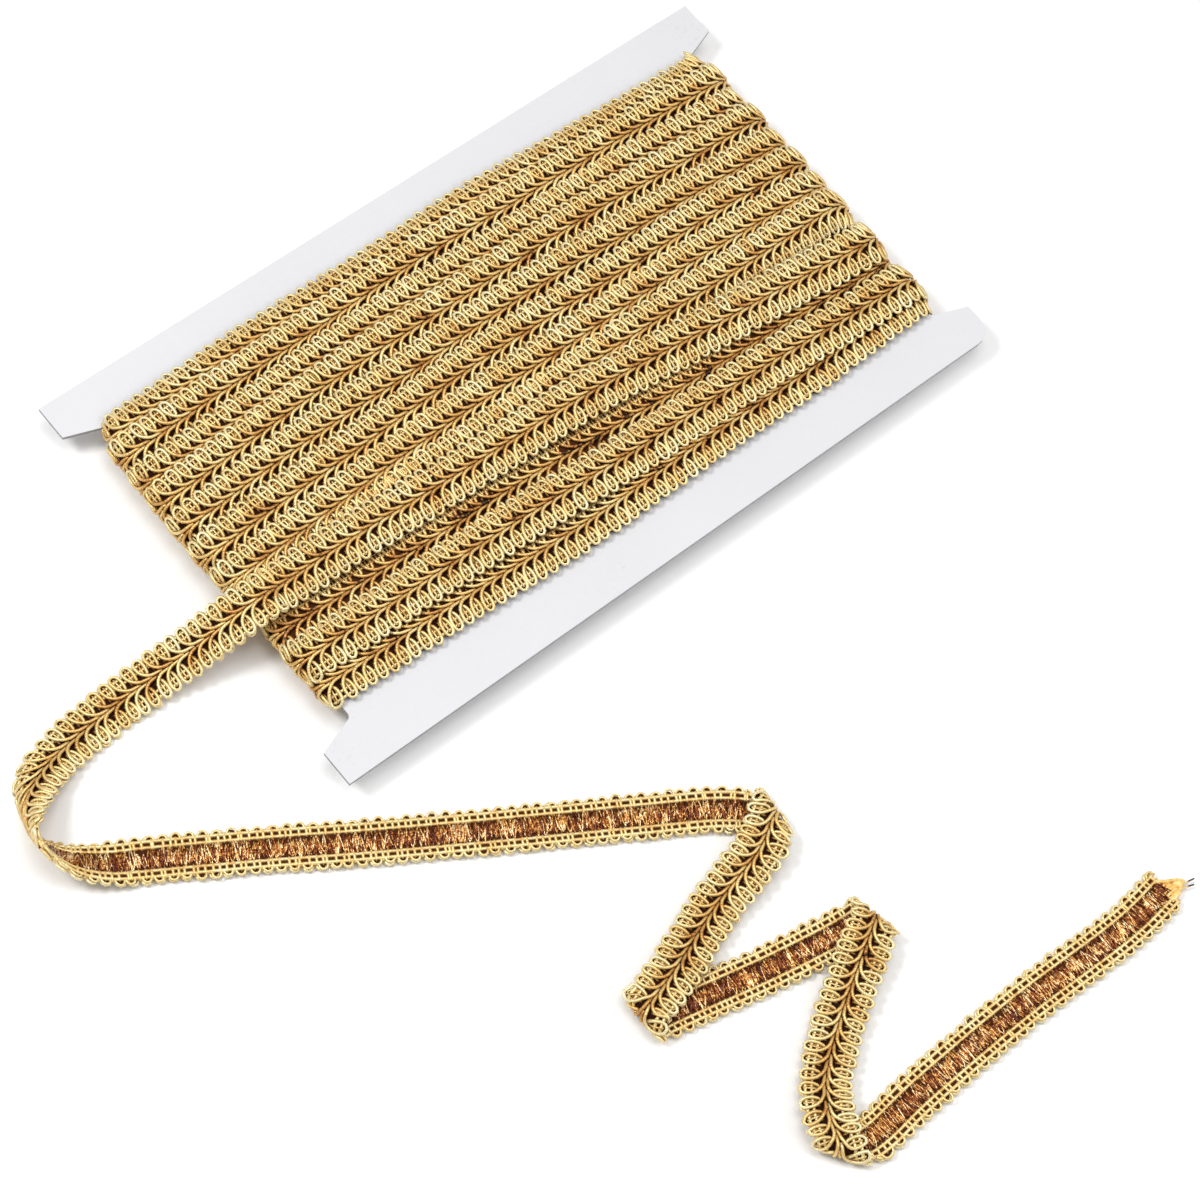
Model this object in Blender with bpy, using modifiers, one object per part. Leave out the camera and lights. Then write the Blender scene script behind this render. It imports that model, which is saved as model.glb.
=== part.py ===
"""Gold gimp braid wound lengthwise on an H-shaped card, with a loose tail folded beside it.

Metres, +Z up.  X runs along the card and Y across it.  The origin is the middle of the
flat underside of the winding.
"""

import math

import bmesh
import bpy
from mathutils import Vector

# Card
CARD_LENGTH = 0.195
CARD_WIDTH = 0.1154
CARD_THICKNESS = 0.001
CARD_MID_Z = 0.0070
EAR_TIP = 0.0092            # width of each ear at its tip
EAR_ROOT = 0.0122           # width of each ear where the notch begins
NOTCH_DEPTH = 0.0100        # how far the short ends are cut in for the braid
NOTCH_FILLET = 0.0015
EAR_CORNER = 0.0050         # rounding of the one worn corner
CARD_COLOUR = (0.86, 0.86, 0.88)

# Braid
BRAID_WIDTH = 0.0118
BRAID_THICKNESS = 0.0015
FIT_GAP = 0.0003            # clearance between the card and the braid
BRAID_COLOUR = (0.72, 0.50, 0.20)

# Winding
HOLE_HALF_LENGTH = CARD_LENGTH / 2 - NOTCH_DEPTH + FIT_GAP
HOLE_HALF_HEIGHT = CARD_THICKNESS / 2 + FIT_GAP
STRAIGHT_HALF_LENGTH = 0.0835   # where the turns start to curl round the card's ends
END_REACH = 0.0920
STRAND_CROWN = 0.0007           # how much each strand is rounded across
END_CROWN = 0.0013              # how much each strand bulges at the card's ends
EDGE_SLOPE = 0.0012             # how much lower the outermost edges are
EDGE_SHARE = 0.03               # share of the width that slopes at each edge
ROWS_ACROSS = 60
STEPS_TOP = 16
STEPS_CURL = 7
HALF_STEPS_BOTTOM = 4

# The strands that show on top: the height of a strand's middle at both ends of the card,
# how far its +Y edge is tipped up over its neighbour, and the Y of its middle at the left
# end, the centre and the right end of the card.
STRANDS = (
    # name      z_left   z_right  tip      y_left   y_centre y_right
    ("first",   0.0116,  0.0116,  0.0006,  0.0405,  0.0420,  0.0385),
    ("second",  0.0122,  0.0124,  0.0008,  0.0340,  0.0365,  0.0335),
    ("third",   0.0124,  0.0118,  0.0009,  0.0255,  0.0288,  0.0255),
    ("fourth",  0.0127,  0.0128,  0.0009,  0.0195,  0.0230,  0.0195),
    ("fifth",   0.0127,  0.0122,  0.0010,  0.0115,  0.0145,  0.0110),
    ("sixth",   0.0128,  0.0130,  0.0010,  0.0030,  0.0065,  0.0040),
    ("seventh", 0.0124,  0.0124,  0.0010, -0.0050, -0.0015, -0.0035),
    ("eighth",  0.0114,  0.0132,  0.0008, -0.0095, -0.0090, -0.0100),
    ("last",    0.0136,  0.0134,  0.0006, -0.0122, -0.0148, -0.0235),
    ("sunk",    0.0116,  0.0112, -0.0006, -0.0200, -0.0215, -0.0290),
    ("low",     0.0113,  0.0120, -0.0006, -0.0290, -0.0318, -0.0360),
    ("edge",    0.0106,  0.0108, -0.0006, -0.0360, -0.0395, -0.0410),
)
FLOOR_OF_STRANDS = 0.0098       # top of the hidden turns below them
UNDER_PITCH = 0.0078            # spacing of the strands underneath
UNDER_SLANT = 0.0039            # how far they run across the card in half its length
UNDER_GROOVE = 0.0011           # depth of the groove between two of them
UNDER_FLAT = 0.55               # share of each that lies flat on the table
TAIL_START_X = -0.0825          # the last strand lifts off the winding here
LEDGE = 0.0004                  # half the length of the step down from it to the strands below

# Places along the card where the winding is shaped, with two close together at the ledge
TOP_PLACES = [STRAIGHT_HALF_LENGTH * (1 - 2 * step / STEPS_TOP) for step in range(STEPS_TOP)]
TOP_PLACES += [TAIL_START_X + LEDGE, TAIL_START_X - LEDGE, -STRAIGHT_HALF_LENGTH]
BOTTOM_PLACES = [STRAIGHT_HALF_LENGTH * step / HALF_STEPS_BOTTOM
                 for step in range(-HALF_STEPS_BOTTOM, HALF_STEPS_BOTTOM + 1)]

# Edges of the winding in Y: at the card's ends and at the middle of its length
FAR_EDGE_END, FAR_EDGE_MIDDLE = 0.0438, 0.0482
NEAR_EDGE_END, NEAR_EDGE_MIDDLE = -0.0425, -0.0455

# Tail.  One row for each place along it, with the height of its lower edge.  "across" is
# the heading of the line across the braid and "tilt" is how far that line is raised, both
# in degrees.  A "roll" row folds the braid over a round crease along that line: a turn of 1
# rolls it up and back over itself, and -1 rolls it down and back beneath.
ROLL_RADIUS = 0.0020
ROLL_DRIFT = 0.0026         # how far the braid moves along a crease as it goes round it
LOW = 0.0008                # middle of a layer that lies on the table
HIGH = LOW + 2 * ROLL_RADIUS
TAIL = (
    # kind    x        y        z        across   tilt or turn
    ("run",  -0.0832, -0.0122,  0.0132,   -90.0,   0.0),
    ("run",  -0.0880, -0.0122,  0.0131,   -90.0,   0.0),
    ("run",  -0.0960, -0.0120,  0.0112,   -90.0,   0.0),
    ("run",  -0.1050, -0.0110,  0.0066,   -89.0,   0.0),
    ("run",  -0.1150, -0.0101,  0.0026,   -90.0,   0.0),
    ("run",  -0.1260, -0.0101,  0.0010,   -89.0,   0.0),
    ("run",  -0.1380, -0.0113,  LOW,      -86.0,   4.0),
    ("run",  -0.1480, -0.0140,  LOW,      -86.0,  20.0),
    ("run",  -0.1555, -0.0190,  LOW,      -95.0,  45.0),
    ("run",  -0.1590, -0.0270,  LOW,     -112.0,  62.0),
    ("run",  -0.1565, -0.0340,  LOW,     -124.0,  40.0),
    ("run",  -0.1500, -0.0392,  LOW,     -124.0,  12.0),
    ("run",  -0.1400, -0.0448,  LOW,     -122.0,   0.0),
    ("run",  -0.1200, -0.0570,  LOW,     -121.0,   0.0),
    ("run",  -0.1000, -0.0697,  LOW,     -121.5,   0.0),
    ("run",  -0.0750, -0.0850,  LOW,     -121.0,   0.0),
    ("run",  -0.0500, -0.1000,  LOW,     -121.5,   0.0),
    ("run",  -0.0340, -0.1098,  LOW,     -117.0,   0.0),
    ("roll", -0.0262, -0.1180,  LOW,      -97.0,   1.0),
    ("run",  -0.0345, -0.1236,  0.0044,   -77.0,   0.0),
    ("run",  -0.0500, -0.1274,  0.0031,   -74.0,   0.0),
    ("run",  -0.0670, -0.1334,  0.0042,   -71.0,   0.0),
    ("roll", -0.0772, -0.1375,  HIGH,     -87.0,  -1.0),
    ("run",  -0.0680, -0.1408,  LOW,     -101.0,   0.0),
    ("run",  -0.0500, -0.1450,  LOW,     -102.0,   0.0),
    ("run",  -0.0340, -0.1480,  LOW,     -100.0,   0.0),
    ("roll", -0.0248, -0.1505,  LOW,      -79.0,   1.0),
    ("run",  -0.0320, -0.1560,  0.0045,   -62.0,   0.0),
    ("run",  -0.0450, -0.1637,  0.0031,   -56.0,   0.0),
    ("run",  -0.0560, -0.1716,  0.0035,   -48.0,   0.0),
    ("run",  -0.0610, -0.1778,  0.0044,   -44.0,   0.0),
    ("roll", -0.0631, -0.1856,  HIGH,     -55.0,  -1.0),
    ("run",  -0.0545, -0.1877,  LOW,      -81.0,   0.0),
    ("run",  -0.0400, -0.1865,  LOW,      -87.0,   0.0),
    ("run",  -0.0100, -0.1858,  LOW,      -91.0,   0.0),
    ("run",   0.0200, -0.1867,  LOW,      -90.0,   0.0),
    ("run",   0.0370, -0.1852,  LOW,      -84.0,   0.0),
)
TAIL_STEP = 0.0045          # spacing of the sections of the tail
ROLL_STEPS = 6
SLANT_LIMIT = 0.8           # most that a section drawn at a slant is widened, as 1 / this


def smooth_step(value):
    """Rise from 0 to 1 with level ends."""
    value = min(max(value, 0.0), 1.0)
    return value * value * (3 - 2 * value)


def through_three(left, centre, right, along):
    """Curve through three values, with along from -1 at the left to 1 at the right."""
    straight = (left + right) / 2 + along * (right - left) / 2
    return straight + (centre - (left + right) / 2) * (1 - along * along)


def clear_scene():
    for thing in list(bpy.data.objects):
        bpy.data.objects.remove(thing)


def make_material(name, colour, roughness, metallic):
    material = bpy.data.materials.new(name)
    material.use_nodes = True
    shader = material.node_tree.nodes["Principled BSDF"]
    shader.inputs["Base Color"].default_value = (*colour, 1.0)
    shader.inputs["Roughness"].default_value = roughness
    shader.inputs["Metallic"].default_value = metallic
    return material


def add_object(name, data, material, collection):
    thing = bpy.data.objects.new(name, data)
    thing.data.materials.append(material)
    collection.objects.link(thing)
    return thing


def arc_points(centre, radius, start, end, steps=5):
    """Points of an arc about a centre, with angles in degrees."""
    points = []
    for step in range(steps + 1):
        angle = math.radians(start + (end - start) * step / steps)
        points.append((centre[0] + radius * math.cos(angle), centre[1] + radius * math.sin(angle)))
    return points


def ear_outline(worn):
    """One quarter of the card in the +X +Y corner, from the outer edge in to the waist."""
    tip_x = CARD_LENGTH / 2
    outer_y = CARD_WIDTH / 2
    waist_x = tip_x - NOTCH_DEPTH
    fillet_centre = (waist_x + NOTCH_FILLET, outer_y - EAR_ROOT - NOTCH_FILLET)
    outline = []
    if worn:
        outline += arc_points((tip_x - EAR_CORNER, outer_y - EAR_CORNER), EAR_CORNER, 90, 0)
    else:
        outline.append((tip_x, outer_y))
    outline.append((tip_x, outer_y - EAR_TIP))
    outline += arc_points(fillet_centre, NOTCH_FILLET, 90, 180)
    return outline


def make_card(material, collection):
    """Flat H-shaped card: two long rails with ears, and a narrower waist for the braid."""
    right_far = ear_outline(worn=False)
    right_near = [(x, -y) for x, y in reversed(ear_outline(worn=True))]
    left_near = [(-x, -y) for x, y in ear_outline(worn=False)]
    left_far = [(-x, y) for x, y in reversed(ear_outline(worn=False))]
    outline = right_far + right_near + left_near + left_far
    curve = bpy.data.curves.new("card", "CURVE")
    curve.dimensions = "2D"
    curve.fill_mode = "BOTH"
    curve.extrude = CARD_THICKNESS / 2
    spline = curve.splines.new("POLY")
    spline.points.add(len(outline) - 1)
    for point, (x, y) in zip(spline.points, outline):
        point.co = (x, y, 0.0, 1.0)
    spline.use_cyclic_u = True
    card = add_object("card", curve, material, collection)
    card.location.z = CARD_MID_Z
    return card


def strand_middle(strand, x):
    return through_three(*strand[4:7], max(-1.0, min(1.0, x / END_REACH)))


def top_height(x, y):
    """Height of the winding's top: the highest strand that covers this place."""
    highest = FLOOR_OF_STRANDS
    for strand in STRANDS:
        name, z_left, z_right, tip = strand[:4]
        across = (y - strand_middle(strand, x)) / (BRAID_WIDTH / 2)
        left_behind = name == "last" and x < TAIL_START_X
        if abs(across) <= 1 and not left_behind:
            height = z_left + (z_right - z_left) * (0.5 + 0.5 * x / END_REACH)
            highest = max(highest, height + tip * across - STRAND_CROWN * across ** 2)
    return highest


def bottom_height(x, y):
    """Height of the underside: level under each strand, with grooves between them."""
    place = (y - UNDER_SLANT * x / END_REACH) / UNDER_PITCH
    from_middle = 2 * abs(place - round(place))
    return UNDER_GROOVE * max(0.0, from_middle - UNDER_FLAT) / (1 - UNDER_FLAT)


def end_reach(y, side):
    """How far the winding stands out past the card's end, with a bulge for each strand."""
    nearest = min(abs(y - strand_middle(strand, side * END_REACH)) for strand in STRANDS)
    bulge = max(0.0, 1 - (nearest / (BRAID_WIDTH / 2)) ** 2)
    return END_REACH - END_CROWN + END_CROWN * bulge


def edge_y(share, x):
    """Y of one lengthwise line of the winding, with share from 0, near, to 1, far."""
    bow = 1 - (min(abs(x), END_REACH) / END_REACH) ** 2
    near = NEAR_EDGE_END + (NEAR_EDGE_MIDDLE - NEAR_EDGE_END) * bow
    far = FAR_EDGE_END + (FAR_EDGE_MIDDLE - FAR_EDGE_END) * bow
    return near + (far - near) * share


def edge_height(share):
    """1 over most of the winding's width, falling to 0 at its near and far edges."""
    return smooth_step(share / EDGE_SHARE) * smooth_step((1 - share) / EDGE_SHARE)


def curl_section(share, side, shoulder):
    """Half round line from a shoulder of the winding, round the card's end, to the table."""
    y = edge_y(share, side * STRAIGHT_HALF_LENGTH)
    reach = end_reach(y, side) - STRAIGHT_HALF_LENGTH
    points = []
    for step in range(1, STEPS_CURL + 1):
        turn = math.pi * step / (STEPS_CURL + 1)
        half_height = shoulder - CARD_MID_Z if turn < math.pi / 2 else CARD_MID_Z
        x = side * (STRAIGHT_HALF_LENGTH + reach * math.sin(turn))
        points.append(Vector((x, y, CARD_MID_Z + half_height * math.cos(turn))))
    return points


def winding_section(share):
    """Outer line of the wound braid round the card at one place across it."""
    top = []
    for x in TOP_PLACES:
        y = edge_y(share, x)
        roof = top_height(x, y) - EDGE_SLOPE * (1 - edge_height(share))
        top.append(Vector((x, y, roof)))
    left = curl_section(share, -1, top[-1].z)
    right = curl_section(share, 1, top[0].z)
    bottom = []
    for x in BOTTOM_PLACES:
        y = edge_y(share, x)
        bottom.append(Vector((x, y, bottom_height(x, y))))
    return top + left + bottom + right[::-1]


def hole_section(share):
    """Inner line of the winding, a little clear of the card."""
    corners = []
    for x, side in ((HOLE_HALF_LENGTH, 1), (0.0, 1), (-HOLE_HALF_LENGTH, 1),
                    (-HOLE_HALF_LENGTH, -1), (0.0, -1), (HOLE_HALF_LENGTH, -1)):
        corners.append(Vector((x, edge_y(share, x), CARD_MID_Z + side * HOLE_HALF_HEIGHT)))
    return corners


def bridge_rings(mesh, first, second):
    """Faces between two closed rings with the same number of points."""
    count = len(first)
    for i in range(count):
        j = (i + 1) % count
        mesh.faces.new((first[i], first[j], second[j], second[i]))


def close_edge(mesh, outer, hole):
    """Side face of the winding between its outer line and the hole for the card."""
    def nearest(place):
        return min(range(len(hole)), key=lambda i: (hole[i].co - place).length)

    corners = [nearest((a.co + b.co) / 2) for a, b in zip(outer, outer[1:] + outer[:1])]
    for i, corner in enumerate(corners):
        j = (i + 1) % len(outer)
        mesh.faces.new((outer[i], outer[j], hole[corner]))
        following = corners[j]
        if following != corner:
            mesh.faces.new((outer[j], hole[following], hole[corner]))


def make_winding(material, collection):
    """The braid as wound: a sleeve round the card with a ridge for each strand on top."""
    mesh = bmesh.new()
    outer_rings = []
    hole_rings = []
    for row in range(ROWS_ACROSS + 1):
        share = row / ROWS_ACROSS
        outer_rings.append([mesh.verts.new(point) for point in winding_section(share)])
        hole_rings.append([mesh.verts.new(point) for point in hole_section(share)])
    for row in range(ROWS_ACROSS):
        bridge_rings(mesh, outer_rings[row], outer_rings[row + 1])
        bridge_rings(mesh, hole_rings[row + 1], hole_rings[row])
    close_edge(mesh, outer_rings[0], hole_rings[0])
    close_edge(mesh, outer_rings[-1], hole_rings[-1])
    bmesh.ops.recalc_face_normals(mesh, faces=mesh.faces)
    data = bpy.data.meshes.new("winding")
    mesh.to_mesh(data)
    mesh.free()
    return add_object("winding", data, material, collection)


def across_direction(heading, tilt):
    """Unit vector across the braid, from a compass heading and a tilt, in degrees."""
    heading, tilt = math.radians(heading), math.radians(tilt)
    flat = math.cos(tilt)
    return Vector((flat * math.cos(heading), flat * math.sin(heading), math.sin(tilt)))


def smooth_between(rows, index, share):
    """Catmull-Rom value between two rows of a table, column by column."""
    def row(i):
        return rows[max(0, min(len(rows) - 1, i))]
    values = []
    for a, b, c, d in zip(row(index - 1), row(index), row(index + 1), row(index + 2)):
        values.append(0.5 * (2 * b + (c - a) * share + (2 * a - 5 * b + 4 * c - d) * share ** 2
                             + (3 * b - a - 3 * c + d) * share ** 3))
    return values


def tail_section(x, y, z, heading, tilt):
    """One row of the table as a place and the direction across the braid there."""
    return Vector((x, y, z)), across_direction(heading, max(0.0, tilt))


def run_sections(rows):
    """Sections along an unfolded stretch of the tail, as (place, across) pairs."""
    sections = []
    for index in range(len(rows) - 1):
        span = (Vector(rows[index + 1][:3]) - Vector(rows[index][:3])).length
        steps = max(1, round(span / TAIL_STEP))
        for step in range(steps):
            sections.append(tail_section(*smooth_between(rows, index, step / steps)))
    sections.append(tail_section(*rows[-1]))
    return sections


def roll_sections(crease, previous):
    """Sections round one crease: the across line stays level and goes half way round."""
    x, y, z, heading, way = crease
    across = across_direction(heading, 0.0)
    outward = Vector((x, y, z)) - previous
    outward -= across * outward.dot(across)
    outward.z = 0.0
    outward.normalize()
    sections = []
    for step in range(ROLL_STEPS + 1):
        share = step / ROLL_STEPS
        lift = way * ROLL_RADIUS * (1 - math.cos(math.pi * share))
        place = Vector((x, y, z + lift)) + across * ROLL_DRIFT * (share - 0.5)
        place += outward * ROLL_RADIUS * math.sin(math.pi * share)
        sections.append((place, across))
    return sections


def tail_sections():
    """All sections of the tail from the winding to its cut end."""
    sections = []
    stretch = []
    for kind, *row in TAIL:
        if kind == "run":
            stretch.append(row)
            continue
        rolled = roll_sections(row, Vector(stretch[-1][:3]))
        crease_in = [*rolled[0][0], row[3], 0.0]
        crease_out = [*rolled[-1][0], row[3], 0.0]
        sections += run_sections(stretch + [crease_in])[:-1]
        sections += rolled[:-1]
        stretch = [crease_out]
    return sections + run_sections(stretch)


def half_width_along(index, sections):
    """Half the braid's width measured along a section that may cross it at a slant."""
    before = sections[max(0, index - 1)][0]
    after = sections[min(len(sections) - 1, index + 1)][0]
    across = sections[index][1]
    forward = (after - before).normalized()
    return BRAID_WIDTH / 2 / max(SLANT_LIMIT, forward.cross(across).length)


def make_tail(material, collection):
    """The loose end: one strip that leaves the winding, turns over and zig-zags."""
    sections = tail_sections()
    mesh = bmesh.new()
    rings = []
    for index, (middle, across) in enumerate(sections):
        reach = across * half_width_along(index, sections)
        lift = Vector((0.0, 0.0, reach.z))      # the row gives the lower edge's height
        rings.append([mesh.verts.new(middle + lift + reach * side) for side in (-1.0, 0.0, 1.0)])
    for first, second in zip(rings, rings[1:]):
        for i in range(2):
            mesh.faces.new((first[i], second[i], second[i + 1], first[i + 1]))
    data = bpy.data.meshes.new("tail")
    mesh.to_mesh(data)
    mesh.free()
    tail = add_object("tail", data, material, collection)
    thicken = tail.modifiers.new("Thickness", "SOLIDIFY")
    thicken.thickness = BRAID_THICKNESS
    thicken.offset = 0.0
    return tail


def main():
    clear_scene()
    collection = bpy.data.collections.new("Gimp braid on card")
    bpy.context.scene.collection.children.link(collection)
    white_card = make_material("White card", CARD_COLOUR, roughness=0.55, metallic=0.0)
    gold_braid = make_material("Gold braid", BRAID_COLOUR, roughness=0.38, metallic=0.6)
    make_card(white_card, collection)
    make_winding(gold_braid, collection)
    make_tail(gold_braid, collection)


main()
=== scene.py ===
"""Looks of the gold gimp braid on its card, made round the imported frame.

Metres, +Z up.  The braid is made the way it is braided: a herringbone of yarn loops over
straight cords and a dark ground.  All of it is laid on strips, which follow the winding
round the card and the folds of the tail.  Places on a strip are (along, across, height),
with the height counted from the strip's ground towards the braid's front.
"""

import math
from collections import namedtuple

import bpy
import numpy as np
from mathutils import Matrix, Vector


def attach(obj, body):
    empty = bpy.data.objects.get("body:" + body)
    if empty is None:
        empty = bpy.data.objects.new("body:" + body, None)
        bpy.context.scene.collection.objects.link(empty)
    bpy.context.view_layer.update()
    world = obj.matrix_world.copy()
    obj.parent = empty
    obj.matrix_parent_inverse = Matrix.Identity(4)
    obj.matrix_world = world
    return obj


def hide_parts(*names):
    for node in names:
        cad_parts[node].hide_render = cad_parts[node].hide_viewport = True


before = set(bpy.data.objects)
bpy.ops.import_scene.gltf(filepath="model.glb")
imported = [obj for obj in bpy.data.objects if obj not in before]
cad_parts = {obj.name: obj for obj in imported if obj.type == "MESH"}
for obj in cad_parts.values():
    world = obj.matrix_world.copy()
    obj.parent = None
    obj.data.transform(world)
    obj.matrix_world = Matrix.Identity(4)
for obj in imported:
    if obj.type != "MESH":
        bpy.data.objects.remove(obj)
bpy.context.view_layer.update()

MM = 0.001

# Camera
FILM_WIDTH = 36.0
FOCAL_LENGTH = 102.65
AZIMUTH, ELEVATION, ROLL = np.radians((-53.503, 63.152, 15.433)).tolist()
VIEW_TARGET = (-0.01978, -0.05179, 0.0)
VIEW_DISTANCE = 0.78505

# Winding: sizes that part.py also uses
CARD_MID_Z = 0.0070
STRAIGHT_HALF_LENGTH = 0.0835   # where the turns start to curl round the card's ends
END_REACH = 0.0920
BRAID_HALF_WIDTH = 0.0059
UNDER_PITCH = 0.0078            # spacing of the strands underneath
UNDER_SLANT = 0.0039            # how far they run across the card in half its length

# The strands that show on top, close to part.py's: the height of the top of a strand's middle,
# how far its +Y edge is tipped up, and the Y of its middle.  Its far and near halves also droop
# by these millimetres under a neighbour.  A deep strand's yarn is darkened by painted shade, for
# the shadow that the strands around it cast there.
Strand = namedtuple("Strand", "name z_left z_right tip y_left y_centre y_right "
                              "far_droop near_droop shade")
STRANDS = [Strand(*row) for row in (
    # name       z_left  z_right      tip   y_left  y_centre  y_right  far  near  shade
    ("first",   0.0116,  0.0116,  0.0008,  0.0405,   0.0420,  0.0385, 1.7,  1.0,   0.0),
    ("second",  0.0122,  0.0124,  0.0010,  0.0340,   0.0365,  0.0335, 0.0,  1.0,   0.0),
    ("third",   0.0124,  0.0118,  0.0010,  0.0255,   0.0288,  0.0255, 0.0,  1.0,   0.0),
    ("fourth",  0.0127,  0.0128,  0.0010,  0.0195,   0.0230,  0.0195, 0.0,  1.0,   0.0),
    ("fifth",   0.0127,  0.0122,  0.0011,  0.0115,   0.0145,  0.0110, 0.0,  1.0,   0.0),
    ("sixth",   0.0128,  0.0130,  0.0011,  0.0030,   0.0065,  0.0040, 0.0,  1.0,   0.0),
    ("seventh", 0.0124,  0.0124,  0.0009, -0.0050,  -0.0015, -0.0035, 0.0,  0.8,   0.0),
    ("eighth",  0.0114,  0.0130,  0.0008, -0.0095,  -0.0090, -0.0100, 0.2,  1.0,   0.0),
    ("last",    0.0136,  0.0134,  0.0006, -0.0122,  -0.0148, -0.0235, 0.4,  0.2,   0.0),
    # sunk lies deep between its neighbours, so its yarn is darkened with painted shade for the
    # shadow they cast
    ("sunk",    0.0106,  0.0106,  0.0000, -0.0203,  -0.0240, -0.0290, 0.3,  0.3,  0.24),
    ("low",     0.0117,  0.0126, -0.0003, -0.0290,  -0.0318, -0.0360, 0.0,  0.1,   0.0),
    ("edge",    0.0106,  0.0108, -0.0008, -0.0360,  -0.0395, -0.0387, 1.0,  0.9,   0.0),
)]
# Two lengths of braid go round the card.  Each runs over the top along these strands in
# turn, and underneath along these rows, which are counted in Y from the middle.
FIRST_LENGTH = (("first", 5), ("second", 4), ("third", 3), ("fourth", 2), ("fifth", 1),
                ("sixth", 0), ("seventh", -1), ("eighth", -2), ("sunk", -4), ("edge", None))
LAST_LENGTH = (("last", -3), ("low", -5))
STOPPED_ROW, STOP_X = -5, -0.055        # the row that ends under the card, and where

UNDER_Z = 0.0017                # ground of the strands under the card
UNDER_TILT = math.radians(4.0)
UNDER_DROOPS = (0.0, 1.0)       # of their far and near halves
TUCK_LENGTH = 0.024
TUCK_DEPTH = 0.0016             # how far a tucked end lies above the turns under the card
TOP_POINTS, UNDER_POINTS, END_POINTS, TUCK_POINTS = 70, 40, 26, 8      # on each stretch
WANDER = 0.00035                # how far a strand strays from its line
WANDER_LENGTH = 0.013           # one sway there and back takes two pi times this
WANDER_PHASE = 1.7              # how far the next strand is out of step
RISE_SHARE, RISE_PACE = 0.5, 1.3        # it also rises and falls, less but faster
# The belt of hidden turns: its outline in X and Z, its thickness in millimetres, its Y
INNER_REACH, INNER_HALF_HEIGHT, INNER_THICKNESS = 0.0885, 0.0017, 1.0
INNER_MIDDLE_Y, INNER_HALF_WIDTH = 0.0013, 0.0375
INNER_BEND_POINTS, INNER_ROWS, INNER_COLUMNS = 9, 130, 5
# Strands higher than the second of these stand out by END_RECESS more than those below the first
LOWEST_PROUD, HIGHEST_PROUD = 0.0114, 0.0128
END_RECESS = 0.0014

TABLE_CLEARANCE = 0.38 * MM     # lowest that the middle of a yarn comes to the table

# Tail, as in part.py.  One row for each place along it, with the height of its lower edge.
# "across" is the heading of the line across the braid and "tilt" is how far it is raised, in
# degrees.  A "roll" row folds the braid over a round crease along that line: up and back over
# itself where its turn is 1, and down and back beneath where it is -1.
ROLL_RADIUS = 0.0020
ROLL_DRIFT = 0.0026             # how far the braid moves along a crease as it goes round it
LOW = 0.0008                    # middle of a layer that lies on the table
HIGH = LOW + 2 * ROLL_RADIUS
TAIL = (
    # kind          x        y       z  across  tilt or turn
    ("run",  -0.0832, -0.0122, 0.0132,  -90.0,  0.0),
    ("run",  -0.0880, -0.0122, 0.0131,  -90.0,  0.0),
    ("run",  -0.0960, -0.0120, 0.0112,  -90.0,  0.0),
    ("run",  -0.1050, -0.0110, 0.0066,  -89.0,  0.0),
    ("run",  -0.1150, -0.0101, 0.0026,  -90.0,  0.0),
    ("run",  -0.1260, -0.0101, 0.0010,  -89.0,  0.0),
    ("run",  -0.1380, -0.0113,    LOW,  -86.0,  4.0),
    ("run",  -0.1480, -0.0140,    LOW,  -86.0, 20.0),
    ("run",  -0.1555, -0.0190,    LOW,  -95.0, 45.0),
    ("run",  -0.1590, -0.0270,    LOW, -112.0, 62.0),
    ("run",  -0.1565, -0.0340,    LOW, -124.0, 40.0),
    ("run",  -0.1500, -0.0392,    LOW, -124.0, 12.0),
    ("run",  -0.1400, -0.0448,    LOW, -122.0,  0.0),
    ("run",  -0.1200, -0.0570,    LOW, -121.0,  0.0),
    ("run",  -0.1000, -0.0697,    LOW, -121.5,  0.0),
    ("run",  -0.0750, -0.0850,    LOW, -121.0,  0.0),
    ("run",  -0.0500, -0.1000,    LOW, -121.5,  0.0),
    ("run",  -0.0340, -0.1098,    LOW, -117.0,  0.0),
    ("roll", -0.0262, -0.1180,    LOW,  -97.0,  1.0),
    ("run",  -0.0345, -0.1236, 0.0044,  -77.0,  0.0),
    ("run",  -0.0500, -0.1274, 0.0031,  -74.0,  0.0),
    ("run",  -0.0670, -0.1334, 0.0042,  -71.0,  0.0),
    ("roll", -0.0772, -0.1375,   HIGH,  -87.0, -1.0),
    ("run",  -0.0680, -0.1408,    LOW, -101.0,  0.0),
    ("run",  -0.0500, -0.1450,    LOW, -102.0,  0.0),
    ("run",  -0.0340, -0.1480,    LOW, -100.0,  0.0),
    ("roll", -0.0248, -0.1505,    LOW,  -79.0,  1.0),
    ("run",  -0.0320, -0.1560, 0.0045,  -62.0,  0.0),
    ("run",  -0.0450, -0.1637, 0.0031,  -56.0,  0.0),
    ("run",  -0.0560, -0.1716, 0.0035,  -48.0,  0.0),
    ("run",  -0.0610, -0.1778, 0.0044,  -44.0,  0.0),
    ("roll", -0.0631, -0.1856,   HIGH,  -55.0, -1.0),
    ("run",  -0.0545, -0.1877,    LOW,  -81.0,  0.0),
    ("run",  -0.0400, -0.1865,    LOW,  -87.0,  0.0),
    ("run",  -0.0100, -0.1858,    LOW,  -91.0,  0.0),
    ("run",   0.0200, -0.1867,    LOW,  -90.0,  0.0),
    ("run",   0.0370, -0.1852,    LOW,  -84.0,  0.0),
)
TAIL_POINTS, ROLL_POINTS = 10, 17       # between two rows of the table, and round a fold
JOINED_POINTS = 3               # last points of the tail, which the winding's first ones replace
END_RUN = 0.009                 # how far the strip runs on past the cut end, for its loose yarns
TAIL_LIFT = 0.32 * MM           # keeps the yarn on the table and out of it
TAIL_GROUND_DEPTH = 0.38        # from the middle of the tail's thickness to its ground, mm
TAIL_CROWN = 0.22               # how much the tail's edges are turned away from its front, mm
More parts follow.
